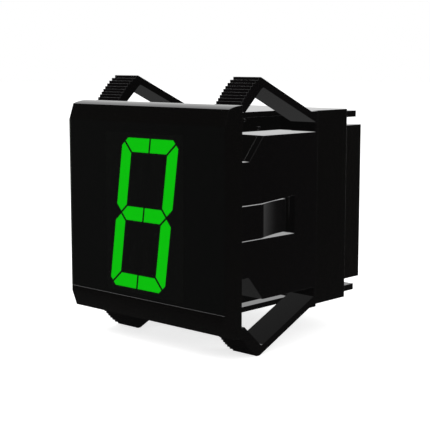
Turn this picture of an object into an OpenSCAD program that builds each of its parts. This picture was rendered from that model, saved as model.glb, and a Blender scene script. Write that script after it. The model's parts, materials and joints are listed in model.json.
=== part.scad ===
// Panel-mount display with one sixteen-segment character behind a dark filter.
// Origin: centre of the plane that rests on the panel. +Y points into the panel,
// +Z up and +X to the right of someone who looks at the front.
// Each node is one separate piece, and all lengths are millimetres.

/* [Bezel] */
// Width and height of the square bezel
bezel_size = 48; // [47:0.5:52]
// Depth of the bezel in front of the panel
bezel_depth = 5.3; // [5:0.1:7]
// Thickness of the bezel's side walls
bezel_wall = 1.6; // [1.2:0.1:1.8]
// Thickness of the bezel's front wall behind the filter
front_wall = 1.2; // [1:0.1:1.4]
// Height of the curved band above and below the flat front
band_height = 4.2; // [3.8:0.1:4.8]
// How far the bevel rises above and below the flat front
bevel_rise = 3.5; // [3:0.1:3.6]
// How far the bevel runs back
bevel_run = 1.25; // [0.8:0.05:1.3]
// Radius of the rounded top and bottom of the bezel
crown_radius = 12; // [11:0.5:16]
// Thickness of the tinted filter
filter_thickness = 0.5; // [0.4:0.1:0.8]
// Height of the strip of frame below the filter
chin_height = 1.3; // [1:0.1:1.5]

/* [Character] */
// Flat front above and below the character
character_margin = 3.3; // [2.8:0.1:5]
// Width of the character before it is slanted
character_width = 17.2; // [16:0.1:18]
// Width of each segment
stroke = 3.05; // [2.6:0.05:3.2]
// Gap between neighbouring segments
segment_gap = 0.46; // [0.3:0.02:0.7]
// Size of the clipped outer corners
corner_clip = 0.7; // [0.4:0.05:1]
// Slant of the character to the right, in degrees
slant = 8; // [0:1:10]
// Width of the upright in the middle of the character
middle_stroke = 2.2; // [1.8:0.1:2.6]
// Depth of the clear light guides
guide_depth = 1.6; // [1.2:0.1:1.8]
// Depth of the black mask around the guides
mask_depth = 2.8; // [2.6:0.1:3]

/* [Case] */
// How far the side brackets stand in from the bezel's edge
side_inset = 1.9; // [1.7:0.1:2.4]
// How far the top and bottom of the case stand in from the bezel's edge
top_inset = 2.05; // [1.8:0.05:2.4]
// Thickness of the plates that close the core above and below
plate_thickness = 1.2; // [1:0.1:1.6]
// Gap between those plates and the spring arms
plate_gap = 0.95; // [0.6:0.05:1.5]
// How far those plates overhang the core on each side
plate_overhang = 2.9; // [2:0.1:4]
// Height of the pockets under those plates
pocket_height = 3.35; // [3:0.05:4]
// Distance from the panel to the step in the case
front_depth = 27.1; // [26:0.1:30]
// Length of the rear block behind the step
rear_depth = 14.1; // [12:0.1:16]
// Chamfer on the rear block's upright corners
rear_chamfer = 1.2; // [0.6:0.1:1.4]
// Wall thickness of the case
case_wall = 1.4; // [1.2:0.1:1.5]
// Length of the two lips behind the rear block
lip_length = 4.9; // [3:0.1:5.5]
// How far the lips stand in from the sides of the case
lip_inset = 1.9; // [1.8:0.1:4]
// Thickness of the two lips
lip_thickness = 1.45; // [1.1:0.05:1.5]
// Gap between the rear cover and each lip
cover_gap = 1.8; // [1.4:0.1:2.4]
// Length of the rear cover behind the case
cover_length = 6.1; // [5.5:0.1:7]

/* [Brackets] */
// Thickness of the side brackets
bracket_thickness = 1.7; // [1.5:0.05:1.8]
// Width of each spring arm
arm_width = 7.05; // [6:0.05:7.2]
// How far the arms rise above the top of the case
arm_rise = 7.6; // [6.8:0.05:8.4]
// Distance from the panel to that edge
apex_y = 7.9; // [7.6:0.1:9]
// Distance from the panel to the toothed front of the tip
tip_y = 0.4; // [0.3:0.1:1]
// How far the tip stands above the top of the case
tip_rise = 0.8; // [0.65:0.05:1.2]
// Thickness of the tip
tip_thickness = 2.5; // [2:0.1:2.6]
// Thickness of the long rear leg
leg_thickness = 1.65; // [1.4:0.05:1.8]
// Fall of the long rear leg, in degrees
leg_fall = 24.2; // [23.5:0.1:25]
// Number of ridges on the toothed front
ridge_count = 11; // [8:1:12]
// Radius inside the bend of the arm
bend_radius = 1; // [0.6:0.1:1.2]
// Depth of the wall that carries each arm
root_depth = 0.8; // [0.6:0.1:1.4]
// Height of the latch tongue
tongue_height = 7.25; // [6.5:0.05:7.6]
// Height of the tongue's middle above the middle of the case
tongue_z = -0.6; // [-0.8:0.1:0.4]
// Distance from the panel to the front of the slots beside the tongue
slot_front = 0.7; // [0.5:0.1:1.5]
// Distance from the panel to the bend of the tongue
tongue_bend = 8.4; // [8:0.1:9]
// Distance from the panel to the back of the window
window_back = 19.3; // [18.8:0.1:20.4]
// How far the tongue leans in at its end
tongue_lean = 2.5; // [2:0.1:2.8]
// Gap around the tongue, below it, behind it and above its front part
slot_width = 0.15; // [0.1:0.05:0.4]
// Extra height of the window above the tongue at the back
slot_flare = 0.8; // [0.3:0.05:1]

/* [Electronics] */
// Thickness of the circuit boards
board_thickness = 1.6; // [1.4:0.1:1.7]
// Distance from the panel to the driver board
driver_y = 10; // [9.8:0.1:10.4]
// Distance from the step in the case to the input board
io_setback = 5.9; // [5.4:0.1:6.1]
// Number of pins in each row of the board connector
pin_columns = 9; // [6:1:10]
// Pitch of the connector's pins
pin_pitch = 2.54; // [2.5:0.01:2.6]
// Number of wire terminals in each row
terminal_count = 6; // [4:1:6]
// Rear cover beside each row of terminals
terminal_margin = 3.4; // [2.6:0.1:5]
// Radius of the wire entries
wire_radius = 1.25; // [1:0.05:1.3]
// Outside radius of the power capacitor
capacitor_radius = 4; // [3:0.1:4.4]

/* [Hidden] */

$fn = 48;
eps = 0.02;

// Bezel
bezel_half = bezel_size / 2;
bezel_inner = bezel_half - bezel_wall;
front_y = -bezel_depth;
flat_half = bezel_half - band_height;
filter_back = front_y + filter_thickness;
filter_bottom = chin_height - flat_half;
frame_back = filter_back + front_wall;

// Character
char_half_h = flat_half - character_margin;
char_half_w = character_width / 2;
mitre = segment_gap / sqrt(2);
half_gap = segment_gap / 2;
half_stroke = stroke / 2;
inner_x = char_half_w - stroke;
inner_z = char_half_h - stroke;
mask_margin = 1.1;
mask_half_h = char_half_h + mask_margin;
mask_half_w = char_half_w + char_half_h * tan(slant) + mask_margin;
mask_back = filter_back + mask_depth;
chip_size = [1.2, 0.6, 0.6];

// Display board
led_board_thickness = 1;
led_board_back = mask_back + led_board_thickness;
led_board_half_w = bezel_inner - 0.8;
led_board_half_h = led_board_half_w - 0.3;

// Case
bracket_outer = bezel_half - side_inset;
arm_inner = bracket_outer - arm_width;
body_half = bracket_outer - bracket_thickness;
case_half = bezel_half - top_inset;
plate_base = case_half - plate_thickness;
plate_half = arm_inner - plate_gap;
core_half = plate_half - plate_overhang;
block_half = plate_base - pocket_height;
corner_drop = 5.2;
nose_half = block_half - corner_drop;
nose_y = 4.3;
shoulder_y = nose_y + 4.5;
cut_inset = 0.6;
rear_y = front_depth + rear_depth;
inner_half = body_half - case_wall - 0.2;
step_back = front_depth + 1.6;
rear_inner = case_half - 2.05;
core_inner_half = core_half - case_wall;
core_inner_top = plate_base - case_wall;
lip_top = rear_inner + lip_thickness;
lip_half = body_half - lip_inset;
catch_length = 8;
catch_depth = 0.4;
catch_y = [-0.9, -0.1];
fit = 0.1;

// Brackets
arm_reach = case_half + arm_rise;
tip_z = case_half + tip_rise;
leg_slope = tan(leg_fall);
front_lean = 42.8;
apex_land = 0.3;
front_run = apex_y - apex_land - tip_y;
root_y = front_depth - root_depth;
tip_back = [tip_y + tip_thickness, tip_z - 0.35];
tongue_thickness = 1;
tongue_top = tongue_z + tongue_height / 2;
tongue_bottom = tongue_z - tongue_height / 2;
window_bottom = tongue_bottom - slot_width;
window_top = tongue_top + slot_width;

// Boards, posts and screws
io_y = front_depth + io_setback;
board_half_w = inner_half - 0.4;
driver_half_h = block_half - case_wall - 0.4;
driver_back = driver_y + board_thickness;
io_half_h = rear_inner - 0.4;
io_back = io_y + board_thickness;
post_radius = 2.4;
thread_radius = 0.8;
clear_radius = 1.1;
screw_length = 5;
head_radius = 1.9;
head_height = 1.3;
slot_half = 0.2;
driver_post = [inner_half - 2.2, nose_half - 4.2];
io_post = [inner_half - 4.3, rear_inner - 2];
power_x = 5.2 - inner_half;
power_front = power_x + board_thickness;
power_half_h = driver_half_h - 1.6;
power_mid_y = (driver_back + io_y) / 2;

// Components on the driver board and the input board
mcu_half = 5;
mcu_height = 1.4;
mcu_z = -7.5;
chip_half_w = 2;
chip_half_h = 5;
chip_height = 1.5;
chip_pitch = -0.66 * power_x;
chip_z = 6;
resistor_count = 16;
resistor_half_w = 0.4;
resistor_half_h = 0.8;
resistor_height = 0.5;
resistor_pitch = 2 * (driver_post[0] - post_radius - 1.45) / (resistor_count - 1);
resistor_z = -6.8;
coupler_count = 4;
coupler_half_w = 2.2;
coupler_half_h = 3.4;
coupler_height = 3.5;
coupler_pitch = 5.5;
coupler_x = 2.25;

// Board connector
header_height = 2.5;
header_y = led_board_back + header_height;
header_half_h = pin_pitch;
header_half_w = pin_columns * pin_pitch / 2;
pin_side = 0.64;
pin_end = driver_y - 2;

// Rear cover
cover_half = rear_inner - cover_gap;
cover_half_w = inner_half + 0.35;
cover_back = rear_y + cover_length;
cover_wall = 1.6;
spigot_length = 3;

// Terminals
terminal_back = cover_back - 0.3;
terminal_row_z = 8.6;
terminal_half_h = 4.2;
wire_z = -1.6;
wire_depth = 8;
screw_z = 2;
screw_well_radius = 1.5;
screw_well_depth = 3;
screw_sink = 1;
screw_radius = 1.4;
screw_slot = 0.5;
screw_front = terminal_back - screw_well_depth;
screw_back = terminal_back - screw_sink;
terminal_half_w = cover_half_w - terminal_margin;
terminal_end = 0.5;
terminal_pitch = 2 * (terminal_half_w - terminal_end) / terminal_count;

// ---------- shared shapes ----------

// Box between two values on each axis
module box(x, y, z) {
    translate([x[0], y[0], z[0]])
        cube([x[1] - x[0], y[1] - y[0], z[1] - z[0]]);
}

// Box that is centred on x = 0 and z = 0
module block(half_w, y, half_h) {
    box([-half_w, half_w], y, [-half_h, half_h]);
}

// Outline in (y, z) that runs along X
module along_x(x, points) {
    translate([x[0], 0, 0])
        rotate([90, 0, 90])
            linear_extrude(x[1] - x[0]) polygon(points);
}

// Outline in (x, z) that runs along Y
module along_y(y, points) {
    translate([0, y[1], 0])
        rotate([90, 0, 0])
            linear_extrude(y[1] - y[0]) polygon(points);
}

// Round bar or hole along Y
module rod(x, z, y, r) {
    translate([x, y[0], z])
        rotate([-90, 0, 0]) cylinder(r = r, h = y[1] - y[0]);
}

// Outline that is the same above and below z = 0, from its upper points
function both_sides(points) = concat(
    points,
    [for (i = [len(points) - 1:-1:0]) [points[i][0], -points[i][1]]]
);

// Children at the four corners of a rectangle
module corners(place) {
    for (sx = [-1, 1], sz = [-1, 1])
        translate([sx * place[0], 0, sz * place[1]]) children();
}

// Children as they are and mirrored below z = 0
module above_and_below() {
    children();
    mirror([0, 0, 1]) children();
}

// Pan-head screw along Y with its head at the back and a cross recess
module pan_screw(head_y) {
    recess = head_radius * 0.55;
    recess_y = [head_y + head_height / 2, head_y + head_height + eps];
    difference() {
        union() {
            rod(0, 0, [head_y - screw_length, head_y + eps], thread_radius);
            rod(0, 0, [head_y, head_y + head_height], head_radius);
        }
        block(recess, recess_y, slot_half);
        block(slot_half, recess_y, recess);
    }
}

// ---------- character ----------

function lean(p) = [p[0] + p[1] * tan(slant), p[1]];
function flip_x(points) = [for (p = points) [-p[0], p[1]]];
function flip_z(points) = [for (p = points) [p[0], -p[1]]];

// Upper left bar of the top row
top_bar = [
    [mitre + 2 * corner_clip - char_half_w, char_half_h],
    [-half_gap, char_half_h],
    [-half_gap, inner_z],
    [mitre - inner_x, inner_z],
    [mitre + corner_clip - char_half_w, char_half_h - corner_clip]
];

// Upper left upright
side_bar = [
    [corner_clip - char_half_w, char_half_h - mitre - corner_clip],
    [-inner_x, inner_z - mitre],
    [-inner_x, mitre + half_stroke],
    [half_stroke - char_half_w, mitre],
    [-char_half_w, mitre + half_stroke],
    [-char_half_w, char_half_h - mitre - 2 * corner_clip]
];

// Left bar of the middle row
middle_bar = [
    [-half_gap, half_stroke],
    [mitre + stroke - char_half_w, half_stroke],
    [mitre + half_stroke - char_half_w, 0],
    [mitre + stroke - char_half_w, -half_stroke],
    [-half_gap, -half_stroke]
];

// Upper half of the middle upright
middle_upright = [
    [-middle_stroke / 2, inner_z - segment_gap],
    [middle_stroke / 2, inner_z - segment_gap],
    [middle_stroke / 2, half_stroke + segment_gap],
    [-middle_stroke / 2, half_stroke + segment_gap]
];

// Upper left diagonal
diagonal_x = [segment_gap - inner_x, -middle_stroke / 2 - segment_gap];
diagonal_z = [inner_z - segment_gap, half_stroke + segment_gap];
diagonal_w = 1;
diagonal_h = 3;
diagonal = [
    [diagonal_x[0], diagonal_z[0]],
    [diagonal_x[0] + diagonal_w, diagonal_z[0]],
    [diagonal_x[1], diagonal_z[1] + diagonal_h],
    [diagonal_x[1], diagonal_z[1]],
    [diagonal_x[1] - diagonal_w, diagonal_z[1]],
    [diagonal_x[0], diagonal_z[0] - diagonal_h]
];

// The ten segments that are lit
lit_outlines = [
    top_bar, flip_x(top_bar), flip_z(top_bar), flip_x(flip_z(top_bar)),
    side_bar, flip_x(side_bar), flip_z(side_bar), flip_x(flip_z(side_bar)),
    middle_bar, flip_x(middle_bar)
];

// The six segments that are dark
unlit_outlines = [
    middle_upright, flip_z(middle_upright),
    diagonal, flip_x(diagonal), flip_z(diagonal), flip_x(flip_z(diagonal))
];

// Middle of the highest and lowest or leftmost and rightmost points of an outline
function middle(points, axis) =
    (min([for (p = points) p[axis]]) + max([for (p = points) p[axis]])) / 2;
function centre(points) = [middle(points, 0), middle(points, 1)];

// One or two light sources under each segment
led_spread = 3.6;
led_places = concat(
    [for (i = [0:3]) centre(lit_outlines[i])],
    [for (i = [4:7], s = [-1, 1]) centre(lit_outlines[i]) + [0, s * led_spread]],
    [for (i = [8:9]) centre(lit_outlines[i])],
    [for (points = unlit_outlines) centre(points)]
);

module segments(outlines, y) {
    for (points = outlines)
        along_y(y, [for (p = points) lean(p)]);
}

// ---------- display front ----------

module bezel_outside() {
    crown_z = bezel_half - crown_radius;
    slope = bevel_run / bevel_rise;
    bevel_back = front_y + slope * (bezel_half - flat_half);
    intersection() {
        along_x([-bezel_half, bezel_half], both_sides([
            [front_y, flat_half], [bevel_back, bezel_half], [0, bezel_half]
        ]));
        union() {
            block(bezel_half, [front_y, 0], crown_z);
            above_and_below()
                translate([-bezel_half, 0, crown_z])
                    rotate([0, 90, 0]) cylinder(r = crown_radius, h = bezel_size, $fn = 128);
        }
    }
}

// Sunk seat of the filter in the front face
module filter_space() {
    box([-bezel_half, bezel_half], [front_y, filter_back], [filter_bottom, flat_half]);
}

module front_filter() {
    color([0.05, 0.06, 0.05, 0.5]) filter_space();
}

module bezel_frame() {
    color([0.06, 0.06, 0.06]) difference() {
        bezel_outside();
        box([-bezel_half - eps, bezel_half + eps], [front_y - eps, filter_back],
            [filter_bottom, flat_half]);
        block(bezel_inner, [frame_back, eps], bezel_inner);
        block(mask_half_w, [front_y - eps, frame_back + eps], mask_half_h);
        for (s = [-1, 1])
            translate([s * bezel_inner, 0, 0])
                block(catch_depth + fit, catch_y + [-fit, fit], catch_length / 2 + fit);
    }
}

module segment_mask() {
    color([0.03, 0.03, 0.03]) difference() {
        block(mask_half_w, [filter_back, mask_back], mask_half_h);
        segments(concat(lit_outlines, unlit_outlines), [filter_back - eps, mask_back + eps]);
    }
}

module lit_segments() {
    color([0.02, 0.75, 0.05]) segments(lit_outlines, [filter_back, filter_back + guide_depth]);
}

module unlit_segments() {
    color([0.1, 0.12, 0.1]) segments(unlit_outlines, [filter_back, filter_back + guide_depth]);
}

module led_chips() {
    color([0.9, 0.9, 0.8])
        for (place = led_places)
            let (p = lean(place))
                translate([p[0] - chip_size[0] / 2, mask_back - chip_size[1], p[1] - chip_size[2] / 2])
                    cube(chip_size);
}

module led_board() {
    color([0.05, 0.25, 0.1])
        block(led_board_half_w, [mask_back, led_board_back], led_board_half_h);
}

// Child at each pin of the board connector
module pin_places() {
    for (i = [0:pin_columns - 1], row = [-1, 1])
        translate([(i - (pin_columns - 1) / 2) * pin_pitch, 0, row * pin_pitch / 2]) children();
}

module pin_header() {
    color([0.08, 0.08, 0.08]) difference() {
        block(header_half_w, [led_board_back, header_y], header_half_h);
        pin_places() block(pin_side / 2, [led_board_back - eps, header_y + eps], pin_side / 2);
    }
}

module header_pins() {
    color([0.85, 0.7, 0.3])
        pin_places() block(pin_side / 2, [led_board_back, pin_end], pin_side / 2);
}

module header_socket() {
    color([0.1, 0.1, 0.1]) difference() {
        block(header_half_w, [header_y, driver_y], header_half_h);
        pin_places() block(pin_side / 2, [header_y - eps, pin_end], pin_side / 2);
    }
}

// ---------- case ----------

// Side view of the case between the brackets, with its front corners cut away
function block_profile(front, cut, wall) = both_sides([
    [front, nose_half - wall],
    [nose_y + cut, nose_half - wall],
    [shoulder_y + cut, block_half - wall],
    [front_depth, block_half - wall]
]);

module rear_block() {
    w = body_half;
    c = rear_chamfer;
    y1 = rear_y;
    translate([0, 0, -case_half])
        linear_extrude(2 * case_half)
            polygon([
                [-w, front_depth], [w, front_depth], [w, y1 - c], [w - c, y1],
                [c - w, y1], [-w, y1 - c]
            ]);
}

// Window from y0 to its back, with an upper edge that rises to the back
module latch_window(x, y0) {
    along_x(x, concat(
        [[y0, window_bottom], [window_back, window_bottom], [window_back, window_top + slot_flare]],
        [[tongue_bend, window_top]],
        y0 < tongue_bend ? [[y0, window_top]] : []
    ));
}

module case_body() {
    color([0.07, 0.07, 0.07]) difference() {
        union() {
            along_x([-body_half, body_half], block_profile(0, 0, 0));
            block(core_half, [0, front_depth], plate_base);
            above_and_below()
                box([-plate_half, plate_half], [0, front_depth], [plate_base, case_half]);
            rear_block();
            above_and_below()
                box([-lip_half, lip_half], [rear_y - eps, rear_y + lip_length],
                    [rear_inner, lip_top]);
            block(bezel_inner, [led_board_back, 0], bezel_inner);
            for (s = [-1, 1])
                translate([s * bezel_inner, 0, 0])
                    block(catch_depth, catch_y, catch_length / 2);
        }
        difference() {
            union() {
                along_x([-inner_half, inner_half],
                    block_profile(led_board_back - eps, cut_inset, case_wall));
                block(inner_half, [front_depth - eps, step_back + eps], block_half - case_wall);
                block(core_inner_half, [led_board_back - eps, step_back + eps], core_inner_top);
                block(inner_half, [step_back, rear_y + 2 * eps], rear_inner);
            }
            corners(driver_post) rod(0, 0, [0, driver_y], post_radius);
            corners(io_post) rod(0, 0, [step_back, io_y], post_radius);
        }
        corners(driver_post) rod(0, 0, [driver_y - screw_length, driver_y + eps], thread_radius);
        corners(io_post) rod(0, 0, [step_back, io_y + eps], thread_radius);
        latch_window([-body_half - eps, body_half + eps], tongue_bend);
    }
}

// ---------- side brackets ----------

// Where the toothed front stands at a share t of its height: straight, then rounded at the top
ridge_round = 0.19;
function ridge_y(t) = tip_y + front_run * ((1 - ridge_round) * t + ridge_round * pow(t, 6));

ridge_pitch = (arm_reach - tip_z) / ridge_count;
ridges = [
    for (i = [0:ridge_count - 1], top = [0, 1])
        [ridge_y((i + 0.5) / ridge_count), tip_z + (i + top) * ridge_pitch]
];

// Meeting point and round of the two inner faces of the arm
leg_offset = leg_thickness / cos(leg_fall);
inner_leg_z = arm_reach - leg_offset;
bend_y = (inner_leg_z - tip_back[1] + apex_y * leg_slope + tip_back[0] * tan(front_lean))
    / (leg_slope + tan(front_lean));
bend_z = tip_back[1] + (bend_y - tip_back[0]) * tan(front_lean);
normal_front = [-sin(front_lean), cos(front_lean)];
normal_rear = [sin(leg_fall), cos(leg_fall)];
bend_centre = [bend_y, bend_z]
    - bend_radius * (normal_front + normal_rear) / (1 + normal_front * normal_rear);
bend_steps = 8;
bend_arc = [
    for (i = [0:bend_steps])
        let (a = 90 + front_lean - i * (front_lean + leg_fall) / bend_steps)
            bend_centre + bend_radius * [cos(a), sin(a)]
];

function leg_z(y, top) = top - (y - apex_y) * leg_slope;

arm_profile = concat(
    ridges,
    [[apex_y, arm_reach]],
    [[apex_y + (arm_reach - case_half) / leg_slope, case_half]],
    [[front_depth, case_half], [front_depth, block_half], [root_y, block_half]],
    [[root_y, leg_z(root_y, inner_leg_z)]],
    [for (i = [bend_steps:-1:0]) bend_arc[i]],
    [tip_back]
);

// Tongue that runs flush with the bracket and then leans into the case along a curve
tongue_steps = 10;
tongue_run = window_back - slot_width - tongue_bend;
tongue_curl = 1.6;
function tongue_x(t) = bracket_outer - tongue_lean * (1 - pow(1 - t, tongue_curl));
tongue_curve = [
    for (i = [0:tongue_steps])
        [tongue_x(i / tongue_steps), tongue_bend + tongue_run * i / tongue_steps]
];

module latch_tongue() {
    translate([0, 0, tongue_bottom])
        linear_extrude(tongue_height)
            polygon(concat(
                [[bracket_outer, slot_front - eps]],
                tongue_curve,
                [for (i = [tongue_steps:-1:0])
                    [min(body_half, tongue_curve[i][0] - tongue_thickness), tongue_curve[i][1]]],
                [[body_half, slot_front - eps]]
            ));
}

module bracket() {
    difference() {
        union() {
            along_x([body_half, bracket_outer], block_profile(0, 0, 0));
            above_and_below()
                box([body_half, bracket_outer], [root_y, front_depth], [block_half - 1, case_half]);
        }
        latch_window([body_half - eps, bracket_outer + eps], slot_front);
    }
    above_and_below() along_x([arm_inner, bracket_outer], arm_profile);
    latch_tongue();
}

module bracket_right() {
    color([0.05, 0.05, 0.05]) bracket();
}

module bracket_left() {
    color([0.05, 0.05, 0.05]) mirror([1, 0, 0]) bracket();
}

// ---------- driver board ----------

module driver_board() {
    color([0.05, 0.3, 0.12]) difference() {
        block(board_half_w, [driver_y, driver_back], driver_half_h);
        corners(driver_post) rod(0, 0, [driver_y - eps, driver_back + eps], clear_radius);
    }
}

module microcontroller() {
    color([0.1, 0.1, 0.1])
        translate([0, 0, mcu_z]) block(mcu_half, [driver_back, driver_back + mcu_height], mcu_half);
}

// Row of equal blocks along X on a board's face, which is the first or second value of y
module chip_row(count, pitch, x, y, z, half_w, half_h) {
    for (i = [0:count - 1])
        translate([x + (i - (count - 1) / 2) * pitch, 0, z]) block(half_w, y, half_h);
}

module driver_chips() {
    color([0.1, 0.1, 0.1])
        chip_row(3, chip_pitch, 0, [driver_back, driver_back + chip_height], chip_z,
            chip_half_w, chip_half_h);
}

// One resistor for each segment
module resistor_chips() {
    color([0.2, 0.2, 0.22])
        chip_row(resistor_count, resistor_pitch, 0, [driver_y - resistor_height, driver_y],
            resistor_z, resistor_half_w, resistor_half_h);
}

module driver_board_screws() {
    color([0.7, 0.7, 0.72]) corners(driver_post) pan_screw(driver_back);
}

// ---------- power board ----------

module power_board() {
    color([0.05, 0.3, 0.12])
        box([power_x, power_front], [driver_back, io_y], [-power_half_h, power_half_h]);
}

// Winding between two flat core plates
module power_transformer() {
    core_x = 9;
    core_y = 11;
    core_thickness = 2;
    height = 10;
    bottom_z = 3 - power_half_h;
    color([0.75, 0.65, 0.3])
        translate([power_front, power_mid_y - core_y / 2, bottom_z]) {
            cube([core_x, core_y, core_thickness]);
            translate([0, 0, height - core_thickness]) cube([core_x, core_y, core_thickness]);
            translate([core_x / 2, core_y / 2, core_thickness / 2])
                cylinder(r = core_x / 2 - 0.5, h = height - core_thickness);
        }
}

// Can that stands on the power board, with a crimp near its foot
module power_capacitor() {
    height = 10;
    foot = 1;
    crimp_depth = 0.3;
    crimp_top = 1.6;
    z = power_half_h / 2;
    color([0.15, 0.2, 0.35])
        translate([power_front, power_mid_y, z])
            rotate([0, 90, 0]) {
                cylinder(r = capacitor_radius, h = foot);
                cylinder(r = capacitor_radius - crimp_depth, h = crimp_top);
                translate([0, 0, crimp_top]) cylinder(r = capacitor_radius, h = height - crimp_top);
            }
}

module voltage_regulator() {
    thickness = 2.3;
    half = 3.25;
    color([0.1, 0.1, 0.1])
        box([power_x - thickness, power_x], [power_mid_y - half, power_mid_y + half], [-half, half]);
}

// ---------- input board and rear ----------

module io_board() {
    color([0.05, 0.3, 0.12]) difference() {
        block(board_half_w, [io_y, io_back], io_half_h);
        corners(io_post) rod(0, 0, [io_y - eps, io_back + eps], clear_radius);
    }
}

module opto_couplers() {
    color([0.9, 0.9, 0.88])
        chip_row(coupler_count, coupler_pitch, coupler_x, [io_y - coupler_height, io_y], 0,
            coupler_half_w, coupler_half_h);
}

module io_board_screws() {
    color([0.7, 0.7, 0.72]) corners(io_post) pan_screw(io_back);
}

// Child at each wire terminal
module terminal_places() {
    for (row = [-1, 1], i = [0:terminal_count - 1])
        translate([(i - (terminal_count - 1) / 2) * terminal_pitch, 0, row * terminal_row_z])
            children();
}

module terminal_blocks() {
    color([0.1, 0.35, 0.15]) difference() {
        for (row = [-1, 1])
            translate([0, 0, row * terminal_row_z])
                block(terminal_half_w, [io_back, terminal_back], terminal_half_h);
        terminal_places() {
            rod(0, wire_z, [terminal_back - wire_depth, terminal_back + eps], wire_radius);
            rod(0, screw_z, [screw_front, terminal_back + eps], screw_well_radius);
        }
    }
}

module terminal_screws() {
    color([0.75, 0.75, 0.78])
        terminal_places()
            translate([0, 0, screw_z])
                difference() {
                    rod(0, 0, [screw_front, screw_back], screw_radius);
                    block(screw_radius + eps, [screw_back - screw_slot, screw_back + eps], slot_half);
                }
}

module rear_cover() {
    spigot_half_w = inner_half - fit;
    spigot_half_h = rear_inner - fit;
    window_half_w = terminal_half_w + fit;
    window_half_h = terminal_half_h + fit;
    color([0.08, 0.08, 0.08]) difference() {
        union() {
            block(cover_half_w, [rear_y, cover_back], cover_half);
            block(spigot_half_w, [rear_y - spigot_length, rear_y + eps], spigot_half_h);
        }
        block(cover_half_w - cover_wall, [rear_y - spigot_length - eps, cover_back - cover_wall],
            cover_half - cover_wall);
        for (row = [-1, 1])
            translate([0, 0, row * terminal_row_z])
                block(window_half_w, [cover_back - cover_wall - eps, cover_back + eps], window_half_h);
    }
}

front_filter();
bezel_frame();
segment_mask();
lit_segments();
unlit_segments();
led_chips();
led_board();
pin_header();
header_pins();
header_socket();
case_body();
bracket_right();
bracket_left();
driver_board();
microcontroller();
driver_chips();
resistor_chips();
driver_board_screws();
power_board();
power_transformer();
power_capacitor();
voltage_regulator();
io_board();
opto_couplers();
io_board_screws();
terminal_blocks();
terminal_screws();
rear_cover();
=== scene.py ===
"""Panel display with one sixteen-segment character: its finishes and fine detail."""

import json
from math import pi, radians

import bmesh
import bpy
from bpy.props import FloatProperty, FloatVectorProperty, PointerProperty
from mathutils import Matrix, Vector

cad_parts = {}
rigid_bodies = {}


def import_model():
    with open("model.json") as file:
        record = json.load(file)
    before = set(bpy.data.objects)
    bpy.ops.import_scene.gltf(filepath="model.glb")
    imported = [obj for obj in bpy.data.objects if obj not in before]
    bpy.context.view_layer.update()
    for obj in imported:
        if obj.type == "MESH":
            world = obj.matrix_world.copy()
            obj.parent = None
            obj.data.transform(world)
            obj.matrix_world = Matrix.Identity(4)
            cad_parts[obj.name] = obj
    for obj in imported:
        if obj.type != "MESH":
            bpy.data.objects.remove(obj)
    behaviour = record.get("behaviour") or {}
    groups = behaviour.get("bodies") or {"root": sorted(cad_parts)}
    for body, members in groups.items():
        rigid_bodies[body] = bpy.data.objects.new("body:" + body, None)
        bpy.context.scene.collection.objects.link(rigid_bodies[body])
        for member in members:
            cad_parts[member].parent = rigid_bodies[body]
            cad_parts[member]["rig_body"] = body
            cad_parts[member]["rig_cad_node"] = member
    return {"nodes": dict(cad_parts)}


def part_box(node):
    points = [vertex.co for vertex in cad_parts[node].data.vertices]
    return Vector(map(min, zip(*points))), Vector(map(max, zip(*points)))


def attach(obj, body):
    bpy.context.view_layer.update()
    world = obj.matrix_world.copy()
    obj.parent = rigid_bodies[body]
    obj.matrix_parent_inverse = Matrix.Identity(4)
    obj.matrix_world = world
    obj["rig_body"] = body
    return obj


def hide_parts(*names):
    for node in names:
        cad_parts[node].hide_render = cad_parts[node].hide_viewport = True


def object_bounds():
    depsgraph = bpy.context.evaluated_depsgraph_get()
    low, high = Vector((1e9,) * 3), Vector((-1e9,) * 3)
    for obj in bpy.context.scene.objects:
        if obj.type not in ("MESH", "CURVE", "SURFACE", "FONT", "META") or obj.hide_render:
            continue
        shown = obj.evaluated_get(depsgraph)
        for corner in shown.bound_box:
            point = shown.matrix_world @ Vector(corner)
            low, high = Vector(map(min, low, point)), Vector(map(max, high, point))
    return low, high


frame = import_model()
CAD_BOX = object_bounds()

bl_info = {
    "name": "Sixteen-segment display",
    "version": (1, 0, 0),
    "blender": (4, 5, 0),
    "location": "3D View > Sidebar > Display",
    "description": "Dresses the packed display with its finishes and fine detail",
    "category": "Object",
}

MM = 0.001
BODY = "root"

# Points closer than this are one point, and points this near to a face's level lie on it
SAME_POINT = 0.002 * MM
ON_LEVEL = 0.02 * MM

# Edges that turn more than this are sharp, and steps smaller than this are shaded smooth
SHARP_EDGE = radians(24)
SMOOTH_STEP = radians(35)
# An edge is rounded where all edges at its ends are longer than this many radii
ROUND_ROOM = 2.6

# Pips on both sides of the case's core: the side's place on X, and their places on Y and Z
CORE_SIDE = 11.2 * MM
PIP_PLACES = ((14.8 * MM, 20 * MM), (19.5 * MM, 18.1 * MM))
PIP_RADIUS = 0.32 * MM
PIP_LENGTH = 0.9 * MM
PIP_ROUND = 0.1 * MM

# The brackets' edge round, as a share of the casing's
BRACKET_ROUND_SHARE = 0.7

# Ridged treads of the spring arms: the depth that they end at and the height that they start at
TREAD_DEPTH = 7.6 * MM
TREAD_HEIGHT = 22.4 * MM

# Where the filter's seat in the bezel starts and ends, behind the filter's face
SEAT_START = 0.1 * MM
SEAT_END = 3 * MM
FILTER_ROUND = 0.1 * MM
# Gap between the filter's back face and the segments' faces, which the solids don't have
FILTER_GAP = 0.04 * MM
# Points within this of the filter's back belong to its back face
FILTER_BACK = 0.2 * MM
DARK_TONE = (0.0066, 0.0056, 0.0046)

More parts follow.
